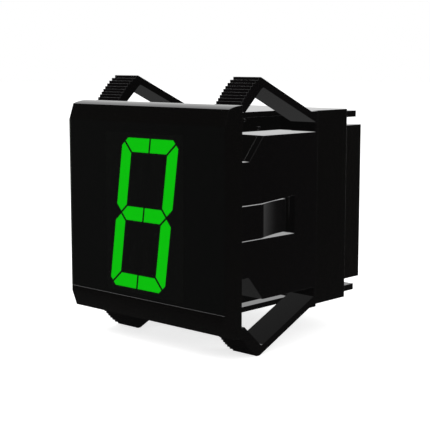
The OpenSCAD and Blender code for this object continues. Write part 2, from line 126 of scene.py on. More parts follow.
# Chip leads: their thickness, how high they leave the package, and the length of their foot
LEAD_THICKNESS = 0.15 * MM
LEAD_HEIGHT = 0.6 * MM
LEAD_FOOT = 0.4 * MM
LEAD_END_ROOM = 0.8 * MM
SMALL_ROUND = 0.03 * MM
# Piece, chips, lead width, pitch, the axes that the sides with leads face, and the way along Y
# that the chips' tops face
CHIP_LEADS = (
    ("driver_chip_leads", "driver_chips", 0.4 * MM, 1.27 * MM, "X", 1),
    ("microcontroller_leads", "microcontroller", 0.3 * MM, 0.8 * MM, "XZ", 1),
    ("coupler_leads", "opto_couplers", 0.5 * MM, 2.54 * MM, "Z", -1),
)
# Turn about Y that carries +X to each side of a chip
SIDE_TURNS = {("X", 1): 0, ("X", -1): pi, ("Z", 1): -pi / 2, ("Z", -1): pi / 2}

# Tinned end caps of the resistors: their length, how far they stand proud, and their end's inset
CAP_LENGTH = 0.3 * MM
CAP_SKIN = 0.02 * MM
CAP_INSET = 0.05 * MM

# Thickness of each of the transformer's core plates, which its winding lies between
CORE_PLATE = 2 * MM
WINDING_ROUND = 0.15 * MM
CAN_ROUND = 0.25 * MM

TERMINAL_ROUND = 0.1 * MM
SCREW_ROUND = 0.08 * MM

# Clamp cages in the wire entries: half width, wall, length, bore, edge round, and place
CAGE_HALF = 0.82 * MM
CAGE_WALL = 0.2 * MM
CAGE_LENGTH = 4 * MM
CAGE_BORE = 3.6 * MM
CAGE_ROUND = 0.06 * MM
CAGE_BEHIND_FACE = 2.4 * MM
WIRE_BELOW_SCREW = 3.6 * MM

# Room that gloss shows: the ways to its backdrop and its wall, the ceiling light's share of the
# full level, and how much brighter the ground is at the back than elsewhere
BACKDROP_WAY = (-0.68, 0.73, 0)
WALL_WAY = (0.9, -0.44, 0)
CEILING_SHARE = 0.7
GROUND_RISE = 3.1

FLOOR_RADIUS = 3
FLOOR_GLOW = 0.75
KEY_PLACE = (-0.25, -0.35, 0.45)
KEY_SIZE = 0.4
FILL_PLACE = (0.5, 0.1, 0.35)
FILL_SIZE = 0.5
LAMP_AIM = (0, 0.02, 0)
SENSOR_WIDTH = 36


# ---------- settings ----------


class DISPLAY_PG_casing(bpy.types.PropertyGroup):
    """Moulded outer parts"""

    edge_round: FloatProperty(
        name="Edge round", description="Radius along the moulded edges",
        default=0.12 * MM, min=0.02 * MM, max=0.4 * MM, unit="LENGTH", precision=5)
    plastic: FloatVectorProperty(
        name="Plastic", description="Colour of the casing", subtype="COLOR",
        default=(0.0018, 0.0015, 0.0013), min=0, max=1)
    bracket_plastic: FloatVectorProperty(
        name="Bracket plastic", description="Colour of the mounting brackets", subtype="COLOR",
        default=(0.0017, 0.0013, 0.0014), min=0, max=1)
    roughness: FloatProperty(
        name="Roughness", description="Roughness of the moulded plastic",
        default=0.09, min=0.02, max=1, subtype="FACTOR")
    sheen_level: FloatProperty(
        name="Reflection", description="Strength of the plastic's reflection seen head-on",
        default=0.5, min=0, max=1, subtype="FACTOR")
    grain_size: FloatProperty(
        name="Grain size", description="Size of the moulded grain",
        default=0.22 * MM, min=0.05 * MM, max=1 * MM, unit="LENGTH", precision=5)


class DISPLAY_PG_character(bpy.types.PropertyGroup):
    """Segments and the filter over them"""

    glow: FloatVectorProperty(
        name="Glow", description="Colour of a lit segment", subtype="COLOR",
        default=(0.0008, 0.53, 0.0014), min=0, max=1)
    glow_level: FloatProperty(
        name="Glow level", description="Brightness of a lit segment before the filter",
        default=3.2, min=0, max=20)
    filter_tint: FloatVectorProperty(
        name="Filter tint", description="Tint of the smoked filter", subtype="COLOR",
        default=(0.3, 0.33, 0.3), min=0, max=1)


class DISPLAY_PG_electronics(bpy.types.PropertyGroup):
    """Boards and components"""

    solder_mask: FloatVectorProperty(
        name="Solder mask", description="Colour of the circuit boards", subtype="COLOR",
        default=(0.004, 0.06, 0.018), min=0, max=1)
    terminal_plastic: FloatVectorProperty(
        name="Terminal plastic", description="Colour of the terminal blocks", subtype="COLOR",
        default=(0.01, 0.12, 0.025), min=0, max=1)
    steel: FloatVectorProperty(
        name="Screw steel", description="Colour of the plated screws", subtype="COLOR",
        default=(0.8, 0.8, 0.78), min=0, max=1)
    gold: FloatVectorProperty(
        name="Gold plating", description="Colour of the connector pins", subtype="COLOR",
        default=(0.83, 0.6, 0.24), min=0, max=1)


class DISPLAY_PG_stage(bpy.types.PropertyGroup):
    """Floor, lamps and camera"""

    floor_colour: FloatVectorProperty(
        name="Floor", description="Colour of the floor", subtype="COLOR",
        default=(0.8, 0.8, 0.8), min=0, max=1)
    room_level: FloatProperty(
        name="Room light", description="Strength of the even light round the object",
        default=0.6, min=0, max=2)
    sky_level: FloatProperty(
        name="Backdrop in gloss", description="Brightness of the backdrop, as gloss shows it",
        default=0.85, min=0, max=2)
    ground_level: FloatProperty(
        name="Room in gloss", description="Brightness of the rest of the room, as gloss shows it",
        default=0.045, min=0, max=2)
    key_power: FloatProperty(
        name="Key lamp", description="Power of the main lamp",
        default=1.2, min=0, max=20, subtype="POWER", unit="POWER")
    fill_power: FloatProperty(
        name="Fill lamp", description="Power of the fill lamp",
        default=0.5, min=0, max=20, subtype="POWER", unit="POWER")
    camera_place: FloatVectorProperty(
        name="Camera", description="Place of the camera", subtype="TRANSLATION",
        default=(0.17401, -0.16820, 0.03295), unit="LENGTH", precision=5)
    camera_aim: FloatVectorProperty(
        name="Aim", description="Point that the camera looks at", subtype="TRANSLATION",
        default=(0.021366, -0.0053, 0.002058), unit="LENGTH", precision=5)
    camera_lens: FloatProperty(
        name="Lens", description="Focal length of the camera, in millimetres",
        default=93.51, min=10, max=300)


# ---------- shader nodes ----------


def new_material(name):
    """An empty material and the tree that its nodes go in."""
    made = bpy.data.materials.new(name)
    made.use_nodes = True
    made.node_tree.nodes.clear()
    return made


def place(tree, kind, inputs=None, **settings):
    """Adds a shader node, each input of which is a constant or another node's socket."""
    made = tree.nodes.new("ShaderNode" + kind)
    for key, value in settings.items():
        setattr(made, key, value)
    for key, value in (inputs or {}).items():
        socket = made.inputs[key]
        if isinstance(value, bpy.types.NodeSocket):
            tree.links.new(value, socket)
        else:
            socket.default_value = value
    return made


def colour(values):
    """A colour with its alpha."""
    return (values[0], values[1], values[2], 1.0)


def shade(values, by):
    """A colour made lighter or darker."""
    return colour([min(1.0, v * by) for v in values])


def object_coordinates(tree):
    return place(tree, "TexCoord").outputs["Object"]


def noise(tree, size, detail, stretch=None):
    """Noise with features of about a size in metres, as a value from 0 to 1."""
    where = object_coordinates(tree)
    if stretch:
        where = place(tree, "Mapping", {"Vector": where, "Scale": stretch}).outputs["Vector"]
    made = place(tree, "TexNoise", {
        "Vector": where, "Scale": 1 / size, "Detail": detail, "Roughness": 0.55})
    return made.outputs["Fac"]


def blend_colours(tree, factor, first, second):
    """Mixes two colours, each of them a constant or a socket."""
    made = place(tree, "Mix", {"Factor": factor}, data_type="RGBA")
    for index, value in ((6, first), (7, second)):
        if isinstance(value, bpy.types.NodeSocket):
            tree.links.new(value, made.inputs[index])
        else:
            made.inputs[index].default_value = value
    return made.outputs[2]


def to_range(tree, value, low, high, source=(0.3, 0.7)):
    """Carries a value over to another range."""
    made = place(tree, "MapRange", {
        "Value": value, "From Min": source[0], "From Max": source[1],
        "To Min": low, "To Max": high})
    return made.outputs["Result"]


def bump(tree, height, depth, strength):
    """A normal that a height from 0 to 1 gives over a depth in metres."""
    made = place(tree, "Bump", {"Height": height, "Distance": depth, "Strength": strength})
    return made.outputs["Normal"]


def blend_values(tree, factor, first, second):
    """Mixes two values, each of them a constant or a socket."""
    return place(tree, "Mix", {0: factor, 2: first, 3: second}, data_type="FLOAT").outputs[0]


def eased(tree, value, start, end):
    """0 up to a start, 1 from an end, and a smooth step between them."""
    return place(tree, "MapRange", {"Value": value, "From Min": start, "From Max": end},
                 interpolation_type="SMOOTHSTEP").outputs["Result"]


def maths(tree, operation, first, second):
    """One operation on two values, each of them a constant or a socket."""
    return place(tree, "Math", {0: first, 1: second}, operation=operation).outputs[0]


def either(tree, first, second):
    return maths(tree, "MAXIMUM", first, second)


def times(tree, first, second):
    return maths(tree, "MULTIPLY", first, second)


def greater(tree, first, second):
    """1 where the first value is greater, 0 elsewhere."""
    return maths(tree, "GREATER_THAN", first, second)


def surface(made, inputs):
    """Ends a material in a shader with these inputs."""
    tree = made.node_tree
    shader = place(tree, "BsdfPrincipled", inputs)
    place(tree, "OutputMaterial", {"Surface": shader.outputs["BSDF"]})
    return made


# ---------- finishes ----------


def moulded_plastic(name, tone, roughness, reflection, grain):
    """Moulded plastic with a fine grain, faint flow clouds, and rounded edges that are polished and
    painted lighter as a highlight.
    """
    made = new_material(name)
    tree = made.node_tree
    clouds = noise(tree, 7 * MM, 4.0)
    fine = noise(tree, grain, 2.0)
    shades = blend_colours(tree, clouds, shade(tone, 0.86), shade(tone, 1.14))
    # Rounded edges: base colour painted lighter as a painted highlight, and roughness lowered for
    # polish
    highlight_and_polish = place(tree, "Attribute", attribute_name="edge_highlight_and_polish").outputs["Fac"]
    shades = blend_colours(tree, highlight_and_polish, shades, shade(tone, 1.5))
    gloss = to_range(tree, clouds, roughness * 1.12, roughness * 0.88)
    gloss = blend_values(tree, highlight_and_polish, gloss, roughness * 0.7)
    return surface(made, {
        "Base Color": shades, "Roughness": gloss, "Specular IOR Level": reflection,
        "Normal": bump(tree, fine, 0.002 * MM, 0.2)})


def smoked_plastic(name, tint):
    """Polished smoked sheet that light passes through, with the faintest haze."""
    made = new_material(name)
    tree = made.node_tree
    haze = to_range(tree, noise(tree, 5 * MM, 4.0), 0.04, 0.075)
    streaks = noise(tree, 1.6 * MM, 2.0)
    return surface(made, {
        "Base Color": blend_colours(tree, streaks, shade(tint, 0.97), shade(tint, 1.03)),
        "Roughness": haze, "IOR": 1.49, "Transmission Weight": 1.0, "Specular IOR Level": 0.25,
        "Normal": bump(tree, noise(tree, 9 * MM, 1.0), 0.004 * MM, 0.3)})


def lit_resin(name, tone, level):
    """Clear resin that glows from behind, with a faint unevenness."""
    made = new_material(name)
    tree = made.node_tree
    clouds = noise(tree, 3 * MM, 2.0)
    glow = blend_colours(tree, clouds, shade(tone, 0.985), shade(tone, 1.015))
    return surface(made, {
        "Base Color": shade(tone, 0.2), "Roughness": to_range(tree, clouds, 0.2, 0.3),
        "Specular IOR Level": 0.05, "Emission Color": glow, "Emission Strength": level})


def plain_resin(name, tone, roughness, mottle=2 * MM):
    """Cast or moulded resin with soft mottling."""
    made = new_material(name)
    tree = made.node_tree
    clouds = noise(tree, mottle, 4.0)
    return surface(made, {
        "Base Color": blend_colours(tree, clouds, shade(tone, 0.85), shade(tone, 1.15)),
        "Roughness": to_range(tree, clouds, roughness * 0.85, roughness * 1.15),
        "Normal": bump(tree, noise(tree, mottle / 12, 2.0), 0.005 * MM, 0.4)})


def plated_metal(name, tone, roughness, turned=True):
    """Plated metal with fine tool marks."""
    made = new_material(name)
    tree = made.node_tree
    clouds = noise(tree, 1.2 * MM, 3.0)
    marks = noise(tree, 0.25 * MM, 2.0, stretch=(1, 12, 1) if turned else (1, 1, 1))
    return surface(made, {
        "Base Color": blend_colours(tree, clouds, shade(tone, 0.88), shade(tone, 1.08)),
        "Metallic": 1.0, "Roughness": to_range(tree, marks, roughness * 0.75, roughness * 1.25),
        "Normal": bump(tree, marks, 0.004 * MM, 0.4)})


def board_laminate(name, tone, run="X"):
    """Solder mask over copper tracks and tinned pads, with the glass weave faintly showing."""
    made = new_material(name)
    tree = made.node_tree
    parts = place(tree, "SeparateXYZ", {0: object_coordinates(tree)}).outputs
    flat = place(tree, "CombineXYZ", {0: parts[run], 1: parts["Z"]}).outputs[0]
    turned = place(tree, "CombineXYZ", {0: parts["Z"], 1: parts[run]}).outputs[0]
    tracks = [place(tree, "TexBrick", {
        "Vector": way, "Scale": 1 / MM, "Mortar Size": 0.12, "Mortar Smooth": 0.1,
        "Brick Width": 6.5, "Row Height": 0.64}).outputs["Fac"] for way in (flat, turned)]
    areas = greater(tree, noise(tree, 6 * MM, 1.0), 0.5)
    shown = blend_values(tree, areas, tracks[0], tracks[1])
    cells = place(tree, "TexVoronoi", {"Vector": flat, "Scale": 1 / (2.54 * MM), "Randomness": 0.0},
                  voronoi_dimensions="2D").outputs
    chance = place(tree, "SeparateXYZ", {0: cells["Color"]}).outputs["X"]
    pads = times(tree, greater(tree, chance, 0.62), greater(tree, 0.15, cells["Distance"]))
    weave = noise(tree, 0.5 * MM, 1.0, stretch=(1, 3, 1))
    ground = blend_colours(tree, weave, shade(tone, 0.85), shade(tone, 1.1))
    shades = blend_colours(tree, shown, ground, shade(tone, 1.7))
    return surface(made, {
        "Base Color": blend_colours(tree, pads, shades, (0.5, 0.48, 0.42, 1)),
        "Roughness": to_range(tree, weave, 0.3, 0.42),
        "Normal": bump(tree, either(tree, shown, pads), 0.02 * MM, 0.5)})


def wound_tape(name, tone):
    """Tape wound round a core, with the edge of each turn showing."""
    made = new_material(name)
    tree = made.node_tree
    turns = place(tree, "TexWave", {
        "Vector": object_coordinates(tree), "Scale": 1 / (6 * MM), "Distortion": 0.4},
        wave_type="BANDS", bands_direction="Z")
    clouds = noise(tree, 2 * MM, 3.0)
    return surface(made, {
        "Base Color": blend_colours(tree, clouds, shade(tone, 0.8), shade(tone, 1.15)),
        "Roughness": to_range(tree, clouds, 0.25, 0.4),
        "Normal": bump(tree, turns.outputs["Fac"], 0.03 * MM, 0.4)})


# ---------- meshes ----------


def deselect():
    bpy.ops.object.select_all(action="DESELECT")


def settle(piece, slot, *nodes):
    """Puts a finished piece on the body and in place of the nodes it is made from; its slot is not
    used.
    """
    piece.visible_glossy = False
    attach(piece, BODY)
    if nodes:
        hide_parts(*nodes)


def dress(piece, finish):
    """Gives a piece one finish all over."""
    piece.data.materials.clear()
    piece.data.materials.append(finish)


def dress_nodes(finish, *nodes):
    """Gives CAD nodes a finish in each of their material slots."""
    for node in nodes:
        solid = frame["nodes"][node]
        solid.visible_glossy = False
        for slot in solid.material_slots:
            slot.material = finish


def merged_copy(node, name):
    """A copy of a CAD node with its triangles joined into whole faces."""
    deselect()
    source = frame["nodes"][node]
    source.select_set(True)
    bpy.context.view_layer.objects.active = source
    bpy.ops.object.duplicate()
    piece = bpy.context.active_object
    piece.name = piece.data.name = name
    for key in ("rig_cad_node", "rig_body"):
        del piece[key]
    bpy.ops.mesh.customdata_custom_splitnormals_clear()
    bpy.ops.object.mode_set(mode="EDIT")
    bpy.ops.mesh.select_all(action="SELECT")
    bpy.ops.mesh.remove_doubles(threshold=SAME_POINT)
    bpy.ops.mesh.dissolve_limited(angle_limit=radians(0.4))
    bpy.ops.object.mode_set(mode="OBJECT")
    return piece


def round_edges(piece, radius, keep):
    """Rounds the sharp edges that have room for it and that pass keep(), and marks them for a
    painted highlight and polish.
    """
    bpy.context.view_layer.objects.active = piece
    bpy.ops.object.mode_set(mode="EDIT")
    bpy.ops.mesh.select_mode(type="EDGE")
    bpy.ops.mesh.select_all(action="DESELECT")
    mesh = bmesh.from_edit_mesh(piece.data)
    sharp = [e for e in mesh.edges if e.is_manifold and e.calc_face_angle(0) > SHARP_EDGE]
    for edge in sharp:
        shortest = min(e.calc_length() for v in edge.verts for e in v.link_edges)
        if shortest > ROUND_ROOM * radius and (keep is None or keep(edge)):
            edge.select_set(True)
    bmesh.update_edit_mesh(piece.data)
    bpy.ops.mesh.bevel(offset=radius, offset_type="OFFSET", segments=2, affect="EDGES",
                       clamp_overlap=True)
    mesh = bmesh.from_edit_mesh(piece.data)
    rounded = {face.index for face in mesh.faces if face.select}
    bpy.ops.object.mode_set(mode="OBJECT")
    # Marks the rounded faces, which the plastic paints lighter as a highlight and makes glossier
    highlight_and_polish = piece.data.attributes.new("edge_highlight_and_polish", "FLOAT", "FACE")
    for face in piece.data.polygons:
        highlight_and_polish.data[face.index].value = float(face.index in rounded)
    soften(piece)


def soften(piece):
    """Smooths a piece across its small steps, with flat faces kept flat."""
    deselect()
    piece.select_set(True)
    bpy.context.view_layer.objects.active = piece
    bpy.ops.object.shade_smooth_by_angle(angle=SMOOTH_STEP)
    bpy.ops.object.modifier_add(type="WEIGHTED_NORMAL")
    piece.modifiers[-1].keep_sharp = True
    piece.modifiers[-1].weight = 100
    bpy.ops.object.modifier_apply(modifier=piece.modifiers[-1].name)


def rounded_part(node, name, slot, finish, radius, keep=None):
    """A rounded copy of a CAD node that stands for it."""
    piece = merged_copy(node, name)
    round_edges(piece, radius, keep)
    dress(piece, finish)
    settle(piece, slot, node)
    return piece


def block(name, low, high):
    """A block between two corners, as a start for a piece."""
    deselect()
    size = Vector(high) - Vector(low)
    middle = (Vector(low) + Vector(high)) / 2
    bpy.ops.mesh.primitive_cube_add(size=1, location=middle, scale=size)
    return begun(name)


def button(name, centre, radius, length):
    """A round stub along X, as a start for a piece."""
    deselect()
    bpy.ops.mesh.primitive_cylinder_add(vertices=24, radius=radius, depth=length, location=centre,
                                        rotation=(0, pi / 2, 0))
    return begun(name)


def begun(name):
    piece = bpy.context.active_object
    piece.name = piece.data.name = name
    bpy.ops.object.transform_apply(location=True, rotation=True, scale=True)
    return piece


def pick(piece, way, furthest):
    """In edit mode, selects the faces that point a way and stand furthest along another."""
    mesh = bmesh.from_edit_mesh(piece.data)
    facing = [f for f in mesh.faces if f.normal.dot(Vector(way)) > 0.9]
    reach = max(f.calc_center_median().dot(Vector(furthest)) for f in facing)
    for face in mesh.faces:
        face.select_set(face in facing
                        and face.calc_center_median().dot(Vector(furthest)) > reach - 0.01 * MM)
    bmesh.update_edit_mesh(piece.data)


def pull(piece, way, step, furthest=None):
    """Extrudes the furthest face that points a way by a step."""
    pick(piece, way, furthest or way)
    bpy.ops.mesh.extrude_region_move(TRANSFORM_OT_translate={"value": step})


def edit(piece):
    bpy.context.view_layer.objects.active = piece
    bpy.ops.object.mode_set(mode="EDIT")
    bpy.ops.mesh.select_mode(type="FACE")


def bevelled(piece, width, segments=2):
    """Rounds a piece's edges with a bevel, which is applied."""
    bpy.context.view_layer.objects.active = piece
    bpy.ops.object.modifier_add(type="BEVEL")
    piece.modifiers[-1].width = width
    piece.modifiers[-1].segments = segments
    bpy.ops.object.modifier_apply(modifier=piece.modifiers[-1].name)


def repeated(piece, moves):
    """One copy of a piece for each move, each with its own mesh, all joined in its place."""
    copies = []
    for move in moves:
        copy = piece.copy()
        copy.data = piece.data.copy()
        copy.data.transform(move)
        if move.is_negative:
            copy.data.flip_normals()
        bpy.context.scene.collection.objects.link(copy)
        copies.append(copy)
    name = piece.name
    bpy.data.objects.remove(piece)
    deselect()
    for copy in copies:
        copy.select_set(True)
    bpy.context.view_layer.objects.active = copies[0]
    bpy.ops.object.join()
    copies[0].name = copies[0].data.name = name
    return copies[0]


def solids_of(node):
    """The lowest and highest corners of each solid in a CAD node."""
    mesh = bmesh.new()
    mesh.from_mesh(frame["nodes"][node].data)
    bmesh.ops.remove_doubles(mesh, verts=mesh.verts, dist=SAME_POINT)
    left, found = set(mesh.verts), []
    while left:
        queue, solid = [left.pop()], []
        while queue:
            point = queue.pop()
            solid.append(point.co.copy())
            near = {edge.other_vert(point) for edge in point.link_edges} & left
            left -= near
            queue.extend(near)
        found.append((Vector([min(c[i] for c in solid) for i in range(3)]),
                      Vector([max(c[i] for c in solid) for i in range(3)])))
    mesh.free()
    return sorted(found, key=lambda box: tuple(box[0]))


# ---------- operators ----------


def off_seat(edge):
    """True for an edge of the bezel that isn't in the filter's seat or at its top."""
    low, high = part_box("front_filter")
    ends = [vertex.co for vertex in edge.verts]
    in_seat = all(low.y + SEAT_START < end.y < low.y + SEAT_END for end in ends)
    return not in_seat and not all(abs(end.z - high.z) < ON_LEVEL for end in ends)


def along_seam(edge):
    """True for the filter's lower front edge."""
    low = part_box("front_filter")[0]
    return all(vertex.co.z < low.z + ON_LEVEL and vertex.co.y < low.y + ON_LEVEL
               for vertex in edge.verts)


class DISPLAY_OT_casing(bpy.types.Operator):
    """Rounds and finishes the bezel, the case and the rear cover"""

    bl_idname = "display.casing"
    bl_label = "Casing"

    def execute(self, context):
        look = context.scene.display_casing
        finish = moulded_plastic("casing_plastic", look.plastic, look.roughness,
                                 look.sheen_level, look.grain_size)
        for node, name, keep in (("bezel_frame", "bezel", off_seat), ("case_body", "case", None),
                                 ("rear_cover", "cover", None)):
            rounded_part(node, name, "black_casing", finish, look.edge_round, keep)

        pip = button("case_pips", (CORE_SIDE, 0, 0), PIP_RADIUS, PIP_LENGTH)
        bevelled(pip, PIP_ROUND, 3)
        pips = repeated(pip, [Matrix.Diagonal((side, 1, 1, 1)) @ Matrix.Translation((0, y, z))
                              for side in (1, -1) for y, z in PIP_PLACES])
        soften(pips)
        dress(pips, finish)
        settle(pips, "black_casing")
        return {"FINISHED"}


class DISPLAY_OT_brackets(bpy.types.Operator):
    """Rounds and finishes the two mounting brackets"""

    bl_idname = "display.brackets"
    bl_label = "Brackets"

    def execute(self, context):
        look = context.scene.display_casing
        finish = moulded_plastic("bracket_plastic", look.bracket_plastic, look.roughness,
                                 look.sheen_level, look.grain_size)
        matt = moulded_plastic("bracket_treads", look.bracket_plastic, 0.6, 0.03, look.grain_size)
        for side in ("right", "left"):
            clip = rounded_part("bracket_" + side, "clip_" + side, "black_bracket", finish,
                                look.edge_round * BRACKET_ROUND_SHARE)
            clip.data.materials.append(matt)
            for face in clip.data.polygons:
                outward = face.normal.z * (1 if face.center.z > 0 else -1)
                on_front = face.center.y < TREAD_DEPTH and abs(face.center.z) > TREAD_HEIGHT
                face.material_index = int(on_front and outward > 0.5)
        return {"FINISHED"}


class DISPLAY_OT_character(bpy.types.Operator):
    """Finishes the filter, the mask and the lit and unlit segments"""

    bl_idname = "display.character"
    bl_label = "Character"

    def execute(self, context):
        look = context.scene.display_character
        casing = context.scene.display_casing
        sheet = rounded_part("front_filter", "filter", "smoked_filter",
                             smoked_plastic("smoked_sheet", look.filter_tint), FILTER_ROUND,
                             along_seam)
        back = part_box("front_filter")[1].y
        for point in sheet.data.vertices:
            if point.co.y > back - FILTER_BACK:
                point.co.y -= FILTER_GAP
        sheet.data.materials.append(moulded_plastic("filter_rim", casing.plastic, casing.roughness,
                                                    casing.sheen_level, casing.grain_size))
        for face in sheet.data.polygons:
            face.material_index = int(abs(face.normal.y) < 0.95)
        dress_nodes(lit_resin("lit_resin", look.glow, look.glow_level), "lit_segments")
        dress_nodes(plain_resin("dark_resin", DARK_TONE, 0.4), "unlit_segments")
        dress_nodes(plain_resin("mask_plastic", DARK_TONE, 0.7), "segment_mask")
        dress_nodes(plain_resin("led_package", (0.7, 0.68, 0.5), 0.3, 0.4 * MM), "led_chips")
        return {"FINISHED"}


def gull_lead(name, width):
    """One chip lead that leaves its package along +X and stands on a board at Y 0."""
    top = LEAD_HEIGHT + LEAD_THICKNESS
    lead = block(name, (-0.1 * MM, LEAD_HEIGHT, -width / 2), (0.3 * MM, top, width / 2))
    edit(lead)
    pull(lead, (1, 0, 0), (LEAD_THICKNESS, 0, 0))
    pull(lead, (0, -1, 0), (0, LEAD_THICKNESS - LEAD_HEIGHT, 0), (1, 0, 0))
    pull(lead, (0, -1, 0), (0, -LEAD_THICKNESS, 0), (1, -1, 0))
    pull(lead, (1, 0, 0), (LEAD_FOOT, 0, 0), (0, -1, 0))
    bpy.ops.object.mode_set(mode="OBJECT")
    bevelled(lead, SMALL_ROUND, 1)
    return lead


def lead_moves(low, high, pitch, ways, up):
    """Where each lead of a package goes, along its sides that face X, Z or both."""
    board = low.y if up > 0 else high.y
    middle = (low + high) / 2
    flip = Matrix.Diagonal((1, up, 1, 1))
    moves = []
    for axis in ways:
        along, across = (2, 0) if axis == "X" else (0, 2)
        count = int((high[along] - low[along] - LEAD_END_ROOM) / pitch) + 1
        for side in (1, -1):
            turn = Matrix.Rotation(SIDE_TURNS[axis, side], 4, "Y")
            for i in range(count):
                spot = Vector((0, board, 0))
                spot[along] = middle[along] + (i - (count - 1) / 2) * pitch
                spot[across] = high[across] if side > 0 else low[across]
                moves.append(Matrix.Translation(spot) @ turn @ flip)
    return moves


def make_transformer():
    """The transformer, with its winding between two core plates."""
    coil = rounded_part("power_transformer", "transformer", "winding_tape",
                        wound_tape("winding_tape", (0.62, 0.36, 0.04)), WINDING_ROUND)
    coil.data.materials.append(plain_resin("ferrite_core", (0.012, 0.012, 0.013), 0.55, 0.3 * MM))
    low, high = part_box("power_transformer")
    for face in coil.data.polygons:
        up = face.center.z - low.z
        face.material_index = int(min(up, high.z - low.z - up) < CORE_PLATE + 0.01 * MM)


def make_capacitor(look):
    """The capacitor, with a sleeve round its can and bare ends."""
    can = rounded_part("power_capacitor", "capacitor", "capacitor_sleeve",
                       plain_resin("can_sleeve", (0.02, 0.03, 0.09), 0.3), CAN_ROUND)
    can.data.materials.append(plated_metal("can_aluminium", look.steel, 0.4, False))
    for face in can.data.polygons:
        face.material_index = int(abs(face.normal.x) > 0.9)


def make_resistor_caps(tin):
    """A tinned cap over each end of each resistor."""
    chips = solids_of("resistor_chips")
    low, high = chips[0]
    cap = block("resistor_caps", low - Vector((CAP_SKIN, CAP_SKIN, CAP_SKIN)),
                (high.x + CAP_SKIN, high.y, low.z + CAP_LENGTH))
    edit(cap)
    pick(cap, (0, 0, -1), (0, 0, -1))
    bpy.ops.mesh.inset(thickness=CAP_INSET)
    bpy.ops.object.mode_set(mode="OBJECT")
    bevelled(cap, SMALL_ROUND, 1)
    across = Matrix.Translation((0, 0, low.z + high.z)) @ Matrix.Diagonal((1, 1, -1, 1))
    caps = repeated(cap, [Matrix.Translation(box[0] - low) @ end
                          for box in chips for end in (Matrix.Identity(4), across)])
    dress(caps, tin)
    settle(caps, "screw_steel")


class DISPLAY_OT_boards(bpy.types.Operator):
    """Finishes the circuit boards and their components"""

    bl_idname = "display.boards"
    bl_label = "Boards"

    def execute(self, context):
        look = context.scene.display_electronics
        dress_nodes(board_laminate("solder_mask", look.solder_mask),
                    "led_board", "driver_board", "io_board")
        dress_nodes(board_laminate("solder_mask_upright", look.solder_mask, "Y"), "power_board")
        dress_nodes(plain_resin("header_plastic", (0.008, 0.008, 0.008), 0.45),
                    "pin_header", "header_socket")
        dress_nodes(plated_metal("gold_plating", look.gold, 0.25, False), "header_pins")
        dress_nodes(plain_resin("chip_epoxy", (0.01, 0.01, 0.011), 0.55, 0.8 * MM),
                    "microcontroller", "driver_chips", "voltage_regulator")
        dress_nodes(plain_resin("resistor_glaze", (0.012, 0.012, 0.014), 0.25, 0.5 * MM),
                    "resistor_chips")
        dress_nodes(plain_resin("coupler_plastic", (0.66, 0.66, 0.6), 0.5), "opto_couplers")
        make_transformer()
        make_capacitor(look)
        dress_nodes(plated_metal("zinc_plating", look.steel, 0.3),
                    "driver_board_screws", "io_board_screws")

        tin = plated_metal("tin_plating", look.steel, 0.35, False)
        for name, node, width, pitch, ways, up in CHIP_LEADS:
            moves = [move for low, high in solids_of(node)
                     for move in lead_moves(low, high, pitch, ways, up)]
            leads = repeated(gull_lead(name, width), moves)
            dress(leads, tin)
            settle(leads, "screw_steel")
        make_resistor_caps(tin)
        return {"FINISHED"}


class DISPLAY_OT_terminals(bpy.types.Operator):
    """Rounds and finishes the wire terminals"""

    bl_idname = "display.terminals"
    bl_label = "Terminals"

    def execute(self, context):
        look = context.scene.display_electronics
        rounded_part("terminal_blocks", "terminals", "terminal_green",
                     plain_resin("terminal_plastic", look.terminal_plastic, 0.4), TERMINAL_ROUND)
        plating = plated_metal("clamp_plating", look.steel, 0.28)
        rounded_part("terminal_screws", "clamp_screws", "screw_steel", plating, SCREW_ROUND)

        cage = block("wire_clamps", (-CAGE_HALF, -CAGE_LENGTH, -CAGE_HALF),
                     (CAGE_HALF, 0, CAGE_HALF))
        edit(cage)
        pick(cage, (0, 1, 0), (0, 1, 0))
        bpy.ops.mesh.inset(thickness=CAGE_WALL)
        bpy.ops.mesh.extrude_region_move(TRANSFORM_OT_translate={"value": (0, -CAGE_BORE, 0)})
        bpy.ops.object.mode_set(mode="OBJECT")
        bevelled(cage, CAGE_ROUND)
        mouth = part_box("terminal_blocks")[1].y - CAGE_BEHIND_FACE
        spots = []
        for low, high in solids_of("terminal_screws"):
            middle = (low + high) / 2
            spots.append(Matrix.Translation((middle.x, mouth, middle.z - WIRE_BELOW_SCREW)))
        cages = repeated(cage, spots)
        soften(cages)
        dress(cages, plating)
        settle(cages, "screw_steel")
        return {"FINISHED"}


def soft_lamp(name, spot, size, power):
    """A square lamp that faces the object."""
    data = bpy.data.lights.new(name, "AREA")
    data.shape = "SQUARE"
    data.size = size
    data.energy = power
    lamp = bpy.data.objects.new(name, data)
    bpy.context.scene.collection.objects.link(lamp)
    lamp.location = spot
    lamp.rotation_euler = (Vector(LAMP_AIM) - Vector(spot)).to_track_quat("-Z", "Y").to_euler()
    lamp.visible_glossy = False


def pale_patch(tree, way, towards, spread, foot):
    """A soft pale patch round a level way, which fades in over a spread and above a foot."""
    near = place(tree, "VectorMath", {0: way, 1: towards}, operation="DOT_PRODUCT")
    height = place(tree, "SeparateXYZ", {0: way}).outputs["Z"]
    return times(tree, eased(tree, near.outputs["Value"], *spread), eased(tree, height, *foot))


